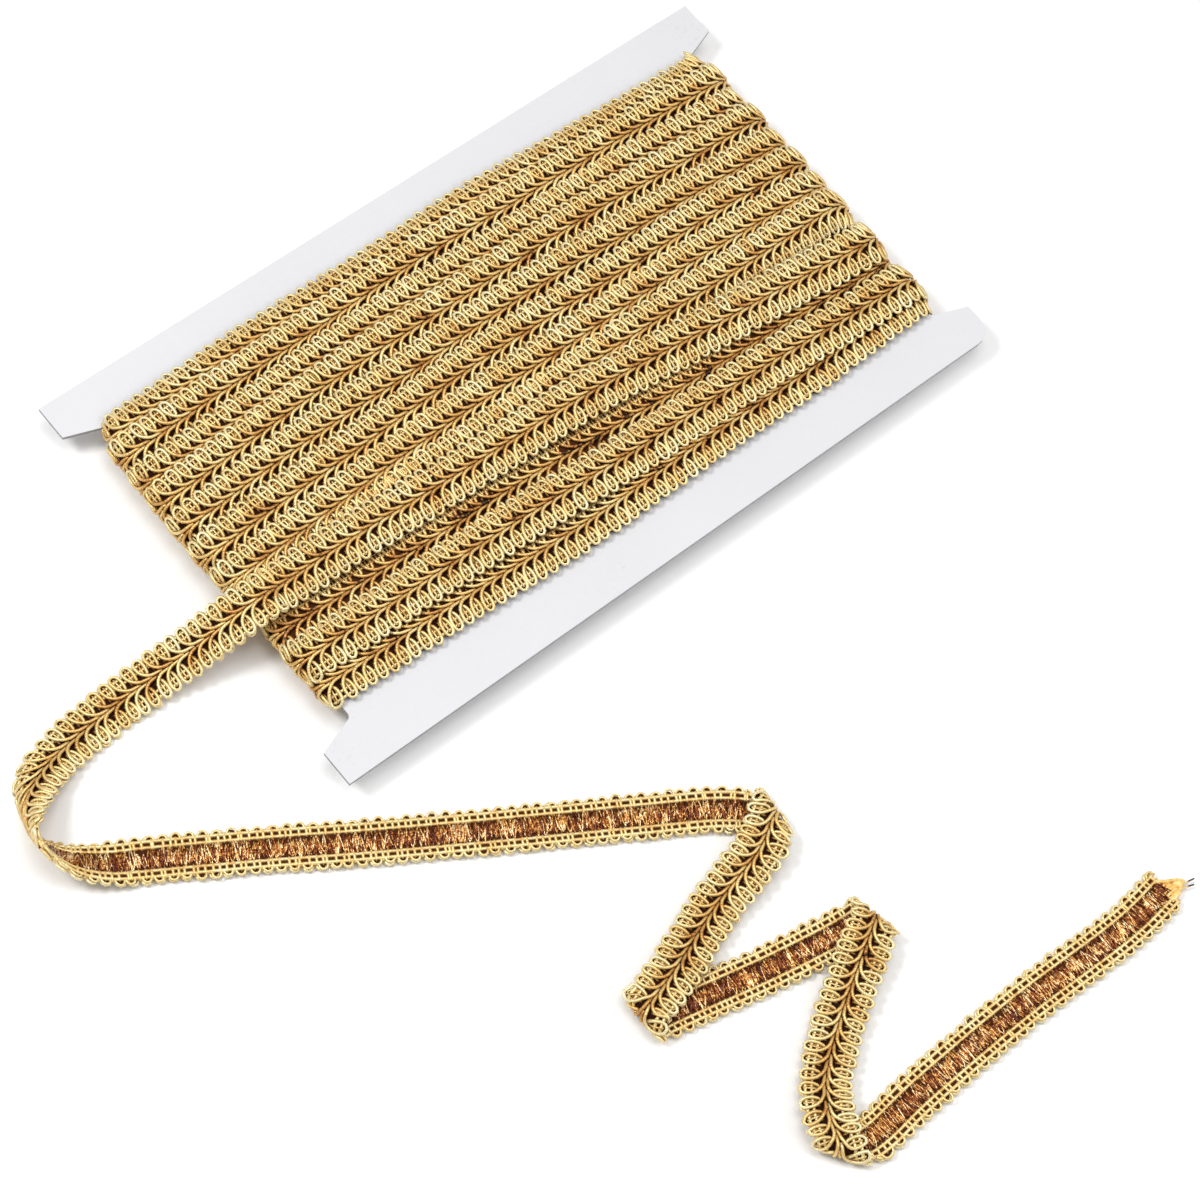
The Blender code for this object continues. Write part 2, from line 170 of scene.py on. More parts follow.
REVERSE_WIDTH = 0.93            # share of its width that the braid shows where its back is up

# Braid pattern, in millimetres
PITCH = 2.95
YARN_RADIUS = 0.40
YARN_TOP = 1.3                  # from the strip's ground to the top of the loops
BRAID_CROWN = 0.7               # how much lower a wound strand's edges are than its middle
# One yarn loop: in from the spine, round the ring's inner end and the ring, and under itself
LOOP = (
    # along  across height
    (3.80,    0.22,  0.36),
    (3.05,    0.36,  0.60),
    (2.30,    0.42,  0.79),
    (1.60,    0.50,  0.89),
    (1.02,    0.68,  0.94),
    (0.50,    1.00,  0.96),
    (0.02,    1.38,  0.97),
    (-0.42,   1.86,  0.96),
    (-0.78,   2.50,  0.94),
    (-0.99,   3.30,  0.90),
    (-1.07,   4.20,  0.85),
    (-1.02,   5.00,  0.78),
    (-0.70,   5.58,  0.70),
    (-0.12,   5.80,  0.67),
    (0.45,    5.60,  0.70),
    (0.84,    5.00,  0.76),
    (0.99,    4.20,  0.80),
    (1.02,    3.30,  0.79),
    (0.95,    2.45,  0.72),
    (0.75,    1.75,  0.56),
    (0.45,    1.20,  0.34),
)
# The yarn that fills a ring
CORE = (
    (0.00,    1.90,  0.50),
    (-0.02,   2.90,  0.64),
    (-0.04,   4.00,  0.62),
    (-0.06,   5.00,  0.50),
)
LOOP_POINTS, LOOP_SIDES = 18, 4
CORE_RADIUS, CORE_SIDES, CORE_TONE = 0.27, 3, 0.42
RESAMPLE_POINTS = 12            # between two rows, while a curve is measured
PICOT_ROWS_OF_LOOP = slice(10, 17)      # the rows above that go round the ring's outer end
PICOT_HEIGHT, PICOT_RADIUS = -0.16, 0.30        # where the back shows them
PICOT_POINTS, PICOT_SIDES = 8, 4
PICOT_SHIFT_SPREAD, PICOT_REACH_SPREAD = 0.22, 0.03
# Cords: their tone is mottled, and yarn that binds them gives them a bead
FRONT_CORDS = {"acrosses": (-4.42, -3.05, 3.05, 4.42), "height": 0.26, "radius": 0.38,
               "tone": 0.50, "mottle": 0.15, "bead": 0.0}
GROUND_HALF_WIDTH = 4.6
PICOT_REACH, PICOT_HALF_WIDTH = 0.95, 0.95     # the ground's bulges inside the loops' ends
PICOT_MIDDLE = -0.12
GROUND_TOP, GROUND_BOTTOM = 0.12, -0.14
# How finely the ground is made: its rows for each loop and its columns
WOUND_GROUND_GRID, TAIL_GROUND_GRID = (4, 3), (8, 5)
# How finely the cords are made: their sides and their steps in millimetres
WOUND_CORD_GRID, TAIL_CORD_GRID, BACK_CORD_GRID = (4, 2.4), (5, 1.2), (5, 0.5)
# Back of the braid
BACK_CORDS = {"acrosses": (-4.42, -2.92, 2.92, 4.42), "height": -0.20, "radius": 0.39,
              "tone": 0.36, "mottle": 0.42, "bead": -0.05}
TIE_TONES = (0.60, 0.36)
PICOT_TONES = (0.75, 0.40)
TIE_PITCH = PITCH / 2
TIE_RADIUS, TIE_SIDES = 0.36, 4
TIE_PATH = (
    # across  height
    (2.45,    -0.05),
    (2.92,    -0.40),
    (3.67,    -0.26),
    (4.42,    -0.40),
    (4.90,     0.05),
)
ZIGZAG_YARNS = 7
ZIGZAG_REACH = (0.9, 3.1)       # how far from the middle a crossing yarn turns back
ZIGZAG_STEP = (0.05, 1.50)      # how far it goes along before it does
ZIGZAG_HEIGHT, ZIGZAG_HEIGHT_SPREAD = -0.24, 0.10
ZIGZAG_RADIUS, ZIGZAG_SIDES = 0.18, 4
ZIGZAG_POINTS = 3               # between two turns
ZIGZAG_TONES = (-0.20, 1.20)

# How much the yarns differ from each other, as millimetres, shares or tones
LOOP_SHIFT_SPREAD = 0.10
LOOP_LEAN_SPREAD = 0.035
LOOP_REACH_SPREAD = 0.02
LOOP_HEIGHT_SPREAD = 0.05
LOOP_TONE_SPREAD, CORE_TONE_SPREAD = 0.2, 0.3
STRAY_LIMIT = 2                 # no loop differs by more than this many spreads
LEAN_PIVOT = 2                  # how far from the middle a leaning loop keeps its place
MIDDLE_TONE = 0.5
TIE_SPREAD = 0.30
# Yarns at the cut end: across where they start and where they stop, and how far they reach.
# A share of each is dark, at its tip.
MELTED = {"yarns": ((2.8, 0.6, 1.4), (1.9, 0.0, 2.6), (1.0, -0.6, 3.6), (0.1, -1.2, 4.3),
                    (-0.8, -1.7, 4.7), (-1.7, -2.1, 4.4), (-2.6, -2.4, 3.2), (-3.4, -2.9, 1.8)),
          "radius": 0.43, "sides": 8, "dark_share": 0.0}
FRAYED = {"yarns": ((-1.6, -3.2, 6.8), (-2.2, -4.2, 5.6)),
          "radius": 0.20, "sides": 5, "dark_share": 0.15}
DARK_TONES, PLAIN_TONES = (-1.2, 0.0), (0.5, 0.5)
END_YARN_POINTS = 9
END_YARN_ROOT = 1.5             # how far inside the cut end they start
END_YARN_HEIGHT, END_YARN_WAVE, END_YARN_BEND = 0.1, 0.3, 3     # they wave up and down
# How far the yarn starts before the first ring's place, in pitches, and from there how much
# later the ground starts and how much earlier the crossing yarns do
YARN_BEFORE_RING, GROUND_LATER, ZIGZAG_EARLIER = 0.3, 0.2, 0.2
END_MARGIN = PITCH * MM * 2     # of a wound length, left without yarn where it ends

WINDING_SEED, TAIL_SEED = 11, 23

# Each yarn has two tones: how far it is from the spine, as a share of the half width, and its
# own light, less any painted shade.  Its lightness is their weighted sum and YARN_LIGHT.
ACROSS_WEIGHT, LIGHT_WEIGHT, YARN_LIGHT = 0.42, 0.45, 0.02
TWISTS_PER_MM = 1.6
YARN_BUMP, YARN_BUMP_DEPTH = 0.35, 0.04 * MM
PATCH_SCALE = 260.0
SHINIER, ROUGHER = 0.10, 0.12   # how far the specks take a yarn's roughness down and up
# Colours, from the darkest tone to the lightest
YARN_STOPS = ((0.00, (0.04, 0.02, 0.01)), (0.05, (0.46, 0.19, 0.04)), (0.25, (0.76, 0.47, 0.15)),
              (0.48, (0.88, 0.68, 0.31)), (0.80, (0.93, 0.82, 0.50)))
# speckle: how much the fine specks paint glints into the yarn's colour; the same specks also vary
# its roughness
LOOP_YARN = {"name": "Gold yarn", "stops": YARN_STOPS, "metallic": 0.45, "roughness": 0.36,
             "speck_scale": 1500.0, "painted_glints": 0.35, "patchiness": 0.55}
BACK_STOPS = ((0.05, (0.09, 0.014, 0.003)), (0.26, (0.34, 0.095, 0.014)),
              (0.39, (0.80, 0.44, 0.11)), (0.52, (1.00, 0.82, 0.50)))
BACK_YARN = {"name": "Copper yarn", "stops": BACK_STOPS, "metallic": 0.55, "roughness": 0.30,
             "speck_scale": 1800.0, "painted_glints": 0.7, "patchiness": 0.15}
# The ground's near-black is partly its own dark weave and partly painted shade for the shadow
# under the loops and between the strands; the upper stops are the gold filling inside the rings
GROUND_AND_SHADE_STOPS = ((0.00, (0.018, 0.003, 0.001)), (0.25, (0.110, 0.034, 0.007)),
                (0.60, (0.60, 0.34, 0.08)), (1.00, (0.85, 0.60, 0.20)))
GROUND_BACK_LIGHT = 0.12        # how much lighter the ground's back is
# Where the ground shows gold inside the rings: share of the half width, and place along
FILLING_PLACES = ((0.20, (0.0, 0.0, 0.0)), (0.34, (1.0, 1.0, 1.0)), (0.80, (1.0, 1.0, 1.0)),
                  (0.90, (0.2, 0.2, 0.2)))
FILLING_CENTRE, FILLING_REACH = 0.16, 0.56
WEAVE_PITCH, WEAVE_CONTRAST = 0.55, 0.06
WEAVE_BUMP, WEAVE_BUMP_DEPTH = 0.6, 0.08 * MM
BOARD_STOPS = ((0.05, (0.24, 0.24, 0.24)), (0.36, (0.64, 0.64, 0.66)),
               (0.62, (0.66, 0.66, 0.68)))
FIBRE_WEIGHT, CLOUD_WEIGHT, EDGE_WEIGHT = 0.4, 0.6, 0.6        # its edges are darker
GLUE_STOPS = ((0.30, (0.60, 0.27, 0.05)), (0.50, (0.98, 0.60, 0.18)), (0.70, (1.00, 0.78, 0.38)))

# Studio
WORLD_STRENGTH = 0.42
FLOOR_HALF, FLOOR_DROP = 3.0, 0.05 * MM
FLOOR_COLOUR = (0.92, 0.92, 0.92, 1.0)
LIGHTS = (
    # name    place                  size  energy
    ("Key",  (-0.55, 0.35, 0.95),    0.35, 6.5),
    ("Fill", (0.60, -0.70, 0.90),    0.60, 4.0),
    ("Top",  (0.05, -0.05, 1.40),    0.80, 7.0),
)


def add_object(name, data):
    made = bpy.data.objects.new(name, data)
    bpy.context.scene.collection.objects.link(made)
    return made


def unit(vectors):
    return vectors / np.linalg.norm(vectors, axis=-1, keepdims=True)


def smooth_step(value):
    value = np.clip(value, 0.0, 1.0)
    return value * value * (3 - 2 * value)


def through_three(left, centre, right, along):
    """Curve through three values, with along from -1 at the left to 1 at the right."""
    straight = (left + right) / 2 + along * (right - left) / 2
    return straight + (centre - (left + right) / 2) * (1 - along * along)


def smooth_rows(rows, per_span):
    """Catmull-Rom curve through the rows of a table, column by column."""
    rows = np.array(rows, float)
    padded = np.vstack([2 * rows[0] - rows[1], rows, 2 * rows[-1] - rows[-2]])
    share = np.linspace(0, 1, per_span, endpoint=False)[:, None]
    spans = []
    for a, b, c, d in zip(padded, padded[1:], padded[2:], padded[3:]):
        spans.append(0.5 * (2 * b + (c - a) * share + (2 * a - 5 * b + 4 * c - d) * share ** 2
                            + (3 * b - a - 3 * c + d) * share ** 3))
    return np.vstack(spans + [rows[-1:]])


def resample(rows, count):
    """The same curve with its points evenly spaced along it."""
    fine = smooth_rows(rows, RESAMPLE_POINTS)
    steps = np.linalg.norm(np.diff(fine, axis=0), axis=1)
    length = np.concatenate(([0.0], np.cumsum(steps)))
    places = np.linspace(0, length[-1], count)
    return np.stack([np.interp(places, length, column) for column in fine.T], axis=1)


class Strip:
    """A strip of braid in space, read at (along, across, height) in metres."""

    # Its columns: three each for the middle line, the direction across and the one that the
    # front faces, then how much the line across leans along the strip, its cross shape, and the
    # painted shade that darkens its yarn
    MIDDLE, OVER, FACE = slice(0, 3), slice(3, 6), slice(6, 9)
    SLANT, CROWN, FAR_DROOP, NEAR_DROOP, NARROW, SHADE = range(9, 15)

    def __init__(self, middles, acrosses, shape, start=0.0):
        steps = np.linalg.norm(np.diff(middles, axis=0), axis=1)
        self.length = start + np.concatenate(([0.0], np.cumsum(steps)))
        forward = unit(np.gradient(middles, self.length, axis=0))
        face = np.cross(forward, acrosses)
        sine = np.linalg.norm(face, axis=1, keepdims=True)
        cosine = (forward * acrosses).sum(axis=1, keepdims=True)
        self.columns = np.hstack([middles, acrosses / sine, face / sine, cosine / sine, shape]).T

    def read(self, along, columns):
        """These columns at these places along the strip."""
        return np.stack([np.interp(along, self.length, self.columns[i]) for i in columns], axis=-1)

    def shade(self, along):
        """How much painted shade darkens the yarn there, one row for each place."""
        return self.read(along, [self.SHADE])

    def at(self, along, across, height):
        """Points on the strip and the direction its front faces there."""
        ruling = along
        for _ in range(5):          # each round comes closer to the across line through the point
            ruling = along - across * self.read(ruling, [self.SLANT])[..., 0]
        found = self.read(ruling, range(self.SHADE))
        face = found[..., self.FACE]
        share = across / BRAID_HALF_WIDTH
        drop = found[..., self.CROWN] * share ** 2
        drop += (found[..., self.FAR_DROOP] * np.maximum(share, 0)
                 + found[..., self.NEAR_DROOP] * np.maximum(-share, 0))
        sideways = (across * found[..., self.NARROW])[..., None] * found[..., self.OVER]
        upwards = (height - drop * MM)[..., None] * face
        points = found[..., self.MIDDLE] + (sideways + upwards)
        points[..., 2] = np.maximum(points[..., 2], TABLE_CLEARANCE)
        return points, face


# Winding --------------------------------------------------

def strand_named(name):
    return next(strand for strand in STRANDS if strand.name == name)


def shape_columns(count, crown, far_droop=0.0, near_droop=0.0, shade=0.0):
    """The same at every place: crown, droops, share of the full width and painted shade."""
    return np.tile((crown, far_droop, near_droop, 1.0, shade), (count, 1))


def over_top(strand):
    """Middle line of a strand over the top, left to right, and the tilt across it."""
    x = np.linspace(-STRAIGHT_HALF_LENGTH, STRAIGHT_HALF_LENGTH, TOP_POINTS)
    along = x / END_REACH
    phase = STRANDS.index(strand) * WANDER_PHASE
    sway = WANDER * np.sin(x / WANDER_LENGTH + phase) * (1 - along ** 2)
    y = through_three(strand.y_left, strand.y_centre, strand.y_right, along) + sway
    z = strand.z_left + (strand.z_right - strand.z_left) * (0.5 + 0.5 * along) - YARN_TOP * MM
    rise = RISE_SHARE * WANDER * np.sin(x / WANDER_LENGTH * RISE_PACE + 2 * phase)
    z += rise * (1 - along ** 2)
    tilt = np.full_like(x, math.atan2(strand.tip, BRAID_HALF_WIDTH))
    return np.stack([x, y, z], axis=1), tilt


def underneath(row):
    """Middle line of a strand under the card, right to left, and the tilt across it."""
    stop = STOP_X if row == STOPPED_ROW else -STRAIGHT_HALF_LENGTH
    x = np.linspace(STRAIGHT_HALF_LENGTH, stop, UNDER_POINTS)
    y = UNDER_PITCH * row + UNDER_SLANT * x / END_REACH
    return np.stack([x, y, np.full_like(x, UNDER_Z)], axis=1), np.full_like(x, UNDER_TILT)


def round_end(start, end, side, reach, tilts):
    """Curl round one end of the card from one straight run to the next."""
    turn = np.linspace(0, math.pi, END_POINTS)[1:-1]
    rise = np.where(turn < math.pi / 2, CARD_MID_Z - start[2], end[2] - CARD_MID_Z)
    z = CARD_MID_Z - rise * np.cos(turn)
    x = side * (STRAIGHT_HALF_LENGTH + (reach - STRAIGHT_HALF_LENGTH) * np.sin(turn))
    share = smooth_step(turn / math.pi)
    y = start[1] + (end[1] - start[1]) * share
    return np.stack([x, y, z], axis=1), tilts[0] + (tilts[1] - tilts[0]) * share


def end_reach(height):
    """The strands that lie higher also stand out further past the card's ends."""
    proud = smooth_step((height - LOWEST_PROUD) / (HIGHEST_PROUD - LOWEST_PROUD))
    return END_REACH - YARN_TOP * MM - END_RECESS * (1 - proud)


def tucked(y, side, depth):
    """Short run hidden under the card, away from one of its ends, where a length stops."""
    x = side * np.linspace(STRAIGHT_HALF_LENGTH, STRAIGHT_HALF_LENGTH - TUCK_LENGTH,
                           TUCK_POINTS)
    path = np.stack([x, np.full_like(x, y), np.full_like(x, UNDER_Z + depth)], axis=1)
    return path, np.zeros_like(x)


def wound_path(turns, starts_tucked):
    """Middle line, tilt and cross shape of a length of braid wound round the card."""
    middles, tilts, shapes = [], [], []

    def add(path, droops_and_painted_shade):
        middles.append(path[0])
        tilts.append(path[1])
        shapes.append(shape_columns(len(path[1]), BRAID_CROWN, *droops_and_painted_shade))

    before = None
    if starts_tucked:
        path, tilt = tucked(strand_named(turns[0][0]).y_left, -1, TUCK_DEPTH)
        before = path[::-1], tilt
        add(before, UNDER_DROOPS)
    for name, row in turns:
        strand = strand_named(name)
        top = over_top(strand)
        shape = strand.far_droop, strand.near_droop, strand.shade
        if before is not None:
            add(round_end(before[0][-1], top[0][0], -1, end_reach(strand.z_left),
                          (before[1][-1], top[1][0])), shape)
        add(top, shape)
        under = tucked(strand.y_right, 1, TUCK_DEPTH) if row is None else underneath(row)
        add(round_end(top[0][-1], under[0][0], 1, end_reach(strand.z_right),
                      (top[1][-1], under[1][0])), shape)
        add(under, UNDER_DROOPS)
        before = under
    return np.vstack(middles), np.concatenate(tilts), np.vstack(shapes)


def across_wound(middles, tilts):
    """Lines across the wound braid: level, but tilted by a small angle about its length."""
    forward = unit(np.gradient(middles, axis=0))
    level = np.array([0.0, 1.0, 0.0])
    outward = unit(np.cross(forward, level))
    return np.cos(tilts)[:, None] * level + np.sin(tilts)[:, None] * outward


def add_inner_turns(ground):
    """The hidden turns next to the card: one wide belt round it, in the ground's near-black, which
    paints the shade between the card and the strands over it.
    """
    bend = np.linspace(-math.pi / 2, math.pi / 2, INNER_BEND_POINTS)
    x = INNER_REACH + INNER_HALF_HEIGHT * (np.cos(bend) - 1)
    z = INNER_HALF_HEIGHT * np.sin(bend)
    half = np.stack([x, z], axis=1)
    round_card = np.vstack([half, -half, half[:1]])
    middles = np.insert(round_card, 1, INNER_MIDDLE_Y, axis=1) + (0.0, 0.0, CARD_MID_Z)
    acrosses = np.tile((0.0, 1.0, 0.0), (len(middles), 1))
    strip = Strip(middles, acrosses, shape_columns(len(middles), 0.0))

    along = np.linspace(0.0, strip.length[-1], INNER_ROWS)
    edge = np.full_like(along, INNER_HALF_WIDTH / MM)
    belt = Bundle()
    belt.add_strip(strip, along, edge, edge, INNER_THICKNESS / 2, -INNER_THICKNESS / 2,
                   INNER_COLUMNS)
    belt.make("inner_turns", ground)


# Tail -----------------------------------------------------

def across_direction(heading, tilt):
    """Unit vector across the braid, from a compass heading and a tilt, in degrees."""
    heading, tilt = np.radians(heading), np.radians(np.maximum(tilt, 0.0))
    flat = np.cos(tilt)
    return np.stack([flat * np.cos(heading), flat * np.sin(heading), np.sin(tilt)], axis=-1)


def roll_rows(crease, previous):
    """Places on the half circle round a crease, where the line across stays level."""
    x, y, z, heading, way = crease
    across = across_direction(heading, 0.0)
    outward = np.array([x, y, z]) - previous
    outward -= across * (outward @ across)
    outward[2] = 0.0
    outward = unit(outward)
    rows = []
    for share in np.linspace(0, 1, ROLL_POINTS):
        place = np.array([x, y, z]) + across * ROLL_DRIFT * (share - 0.5)
        place[2] += way * ROLL_RADIUS * (1 - math.cos(math.pi * share))
        place += outward * ROLL_RADIUS * math.sin(math.pi * share)
        rows.append((*place, heading, 0.0))
    return rows


def tail_path():
    """Middle line and across lines of the tail, from the winding to its cut end."""
    finished = []
    stretch = []
    for kind, *row in TAIL:
        if kind == "run":
            stretch.append(row)
            continue
        rolled = roll_rows(row, np.array(stretch[-1][:3]))
        finished += list(smooth_rows(stretch + [list(rolled[0])], TAIL_POINTS))[:-1]
        finished += rolled[:-1]
        stretch = [list(rolled[-1])]
    rows = np.vstack([np.array(finished), smooth_rows(stretch, TAIL_POINTS)])
    across = across_direction(rows[:, 3], rows[:, 4])
    middles = rows[:, :3].copy()
    middles[:, 2] += across[:, 2] * BRAID_HALF_WIDTH + TAIL_LIFT
    return middles, across


def tail_and_last_strip():
    """One strip from the cut end of the tail to the end of the last wound length."""
    middles, across = tail_path()
    forward = unit(np.gradient(middles, axis=0))
    face = unit(np.cross(forward, across))
    middles = middles - face * TAIL_GROUND_DEPTH * MM
    back_up = smooth_step(0.5 - 0.5 * face[:, 2])
    shape = shape_columns(len(middles), TAIL_CROWN)
    shape[:, Strip.NARROW - Strip.CROWN] = 1 - (1 - REVERSE_WIDTH) * back_up
    middles, across, shape = middles[::-1], -across[::-1], shape[::-1]
    beyond = middles[0] + unit(middles[0] - middles[1]) * END_RUN
    middles = np.vstack([beyond, middles])
    across = np.vstack([across[0], across])
    shape = np.vstack([shape[0], shape])
    steps = np.linalg.norm(np.diff(middles, axis=0), axis=1)
    wound, tilts, wound_shape = wound_path(LAST_LENGTH, starts_tucked=False)
    kept = len(middles) - JOINED_POINTS
    return Strip(np.vstack([middles[:kept], wound]),
                 np.vstack([across[:kept], across_wound(wound, tilts)]),
                 np.vstack([shape[:kept], wound_shape]), start=-steps.sum())


# Yarn -----------------------------------------------------

class Bundle:
    """Collects tubes and strips of braid as arrays, then makes one mesh of them."""

    def __init__(self):
        self.corners, self.faces, self.maps, self.tones = [], [], [], []
        self.count = 0

    def add(self, corners, faces, maps, tones):
        """More corners with their tones, and faces with the map of their corners."""
        self.corners.append(corners)
        self.faces += [face + self.count for face in faces]
        self.maps += maps
        self.tones.append(tones)
        self.count += len(corners)

    def add_tubes(self, paths, fronts, radius, sides, tones):
        """Round yarns along paths (yarn, place, xyz), each closed at both ends."""
        yarns, places = paths.shape[:2]
        forward = unit(np.gradient(paths, axis=1))
        side = unit(np.cross(forward, fronts))
        up = np.cross(side, forward)
        angle = 2 * math.pi * np.arange(sides)[:, None] / sides
        ring = np.cos(angle) * side[:, :, None] + np.sin(angle) * up[:, :, None]
        corners = (paths[:, :, None] + radius * ring).reshape(-1, 3)

        index = np.arange(yarns * places * sides).reshape(yarns, places, sides)
        after = np.roll(index, -1, axis=2)
        quads = np.stack([index[:, :-1], index[:, 1:], after[:, 1:], after[:, :-1]], axis=-1)
        caps = np.concatenate([index[:, 0], index[:, -1, ::-1]])

        steps = np.linalg.norm(np.diff(paths, axis=1), axis=2)
        length = np.concatenate([np.zeros((yarns, 1)), np.cumsum(steps, axis=1)], axis=1) / MM
        here = np.broadcast_to(length[:, :-1, None], quads.shape[:3])
        there = np.broadcast_to(length[:, 1:, None], quads.shape[:3])
        turn = np.broadcast_to(np.arange(sides) / sides, quads.shape[:3])
        turned = turn + 1 / sides
        quad_map = np.stack([np.stack([here, turn], -1), np.stack([there, turn], -1),
                             np.stack([there, turned], -1), np.stack([here, turned], -1)], axis=-2)
        cap_map = np.zeros((*caps.shape, 2))
        spread = np.broadcast_to(tones[:, :, None], (yarns, places, sides, 2)).reshape(-1, 2)
        self.add(corners, [quads.reshape(-1, 4), caps],
                 [quad_map.reshape(-1, 2), cap_map.reshape(-1, 2)], spread)

    def add_strip(self, strip, along, far_edge, near_edge, top, bottom, columns):
        """A thin closed strip between two edges, in millimetres from the middle.

        Its tones are the distance from the middle and whether a point is on the top.
        """
        share = np.linspace(-1, 1, columns)
        across = np.where(share > 0, far_edge[:, None], near_edge[:, None]) * share
        outline = np.hstack([across, across[:, ::-1]])
        height = np.broadcast_to(np.repeat([top, bottom], columns), outline.shape)
        grid = np.broadcast_to(along[:, None], outline.shape)
        points = strip.at(grid, outline * MM, height * MM)[0]
        index = np.arange(outline.size).reshape(outline.shape)
        after = np.roll(index, -1, axis=1)
        quads = np.stack([index[:-1], index[1:], after[1:], after[:-1]], axis=-1).reshape(-1, 4)
        caps = np.stack([index[0], index[-1, ::-1]])
        flat = np.stack([grid / MM, outline], axis=-1).reshape(-1, 2)
        tones = np.stack([np.abs(flat[:, 1]) * MM / BRAID_HALF_WIDTH,
                          (height == top).reshape(-1)], axis=1)
        self.add(points.reshape(-1, 3), [quads, caps],
                 [flat[quads.reshape(-1)], flat[caps.reshape(-1)]], tones)

    def make(self, name, material):
        """The mesh object, with its map in millimetres and its tones as an attribute."""
        sizes = np.concatenate([np.full(len(face), face.shape[1]) for face in self.faces])
        around = np.concatenate([face.reshape(-1) for face in self.faces])
        mesh = bpy.data.meshes.new(name)
        mesh.vertices.add(self.count)
        mesh.vertices.foreach_set("co", np.vstack(self.corners).astype(np.float32).ravel())
        mesh.loops.add(len(around))
        mesh.loops.foreach_set("vertex_index", around.astype(np.int32))
        mesh.polygons.add(len(sizes))
        starts = np.concatenate(([0], np.cumsum(sizes)[:-1]))
        mesh.polygons.foreach_set("loop_start", starts.astype(np.int32))
        mesh.update(calc_edges=True)
        mesh.uv_layers.new(name="Yarn").uv.foreach_set(
            "vector", np.vstack(self.maps).astype(np.float32).ravel())
        tones = mesh.attributes.new("tone", "FLOAT2", "POINT")
        tones.data.foreach_set("vector", np.vstack(self.tones).astype(np.float32).ravel())
        mesh.shade_smooth()
        mesh.materials.append(material)
        piece = add_object(name, mesh)
        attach(piece, "root")
        return piece


def places_along(start, end, pitch):
    """Evenly spaced places at whole numbers of the pitch, so that stretches join up."""
    first = math.ceil(start / pitch)
    return np.arange(first, math.floor(end / pitch) + 1) * pitch


def ring_places(start, end, side):
    """Where the rings' middles are: those of the near side lie half way between the far's."""
    offset = PITCH * MM / 2 if side < 0 else 0.0
    return places_along(start - offset, end - offset, PITCH * MM) + offset


def strayed(shape, stray):
    """Along and across of a loop's points, once each loop has its own shift, reach and lean."""
    across = shape[:, 1] * (1 + LOOP_REACH_SPREAD * stray[:, 1:2])
    lean = LOOP_LEAN_SPREAD * stray[:, 2:3]
    shift = LOOP_SHIFT_SPREAD * stray[:, 0:1] + lean * (across - LEAN_PIVOT)
    return shape[:, 0] + shift, across


def add_loops(bundle, strip, start, end, chance):
    """The herringbone's front: one loop after another down both sides of the spine."""
    shape = resample(LOOP, LOOP_POINTS)
    for side in (1, -1):
        along = ring_places(start, end, side)
        stray = chance.normal(0, 1, (len(along), 5)).clip(-STRAY_LIMIT, STRAY_LIMIT)
        ahead, across = strayed(shape, stray)
        height = shape[:, 2] * (1 + LOOP_HEIGHT_SPREAD * stray[:, 3:4])
        paths, fronts = strip.at(along[:, None] + ahead * MM, side * across * MM, height * MM)
        # The loops' own light, less the painted shade of a deep strand
        light = MIDDLE_TONE + LOOP_TONE_SPREAD * stray[:, 4:5] - strip.shade(along)
        tones = np.stack([across / (BRAID_HALF_WIDTH / MM),
                          np.broadcast_to(light, across.shape)], axis=-1)
        bundle.add_tubes(paths, fronts, YARN_RADIUS * MM, LOOP_SIDES, tones)
        add_cores(bundle, strip, along, side, stray, chance)


def add_cores(bundle, strip, along, side, stray, chance):
    """The yarn that fills each ring, which shifts and leans as the ring does."""
    core = np.array(CORE)
    ahead, across = strayed(core, stray)
    height = np.broadcast_to(core[:, 2], across.shape)
    paths, fronts = strip.at(along[:, None] + ahead * MM, side * across * MM, height * MM)
    # The cores' own light, less the painted shade of a deep strand
    light = (MIDDLE_TONE + CORE_TONE_SPREAD * chance.normal(0, 1, across.shape)
             - strip.shade(along))
    tones = np.stack([np.full_like(across, CORE_TONE), light], axis=-1)
    bundle.add_tubes(paths, fronts, CORE_RADIUS * MM, CORE_SIDES, tones)


def add_picots(bundle, strip, start, end, chance):
    """Back of the braid: the loops' outer ends, which stand out past the cords."""
    shape = resample(LOOP[PICOT_ROWS_OF_LOOP], PICOT_POINTS)
    for side in (1, -1):
        along = ring_places(start, end, side)
        stray = chance.normal(0, 1, (2, len(along), 1))
        grid = along[:, None] + (shape[:, 0] + PICOT_SHIFT_SPREAD * stray[0]) * MM
        across = side * shape[:, 1] * (1 + PICOT_REACH_SPREAD * stray[1]) * MM
        paths, fronts = strip.at(grid, across, np.full_like(grid, PICOT_HEIGHT * MM))
        tones = np.full((*grid.shape, 2), PICOT_TONES)
        bundle.add_tubes(paths, fronts, PICOT_RADIUS * MM, PICOT_SIDES, tones)


def add_ground(bundle, strip, start, end, grid):
    """The weave under the loops, bulging into the loops' outer ends."""
    rows, columns = grid
    along = np.arange(start, end, PITCH * MM / rows)
    edges = []
    for side in (1, -1):
        place = along / MM - PICOT_MIDDLE - (side < 0) * PITCH / 2
        place = (place + PITCH / 2) % PITCH - PITCH / 2
        bulge = np.sqrt(np.maximum(0.0, 1 - (place / PICOT_HALF_WIDTH) ** 2))
        edges.append(GROUND_HALF_WIDTH + PICOT_REACH * bulge)
    bundle.add_strip(strip, along, *edges, GROUND_TOP, GROUND_BOTTOM, columns)


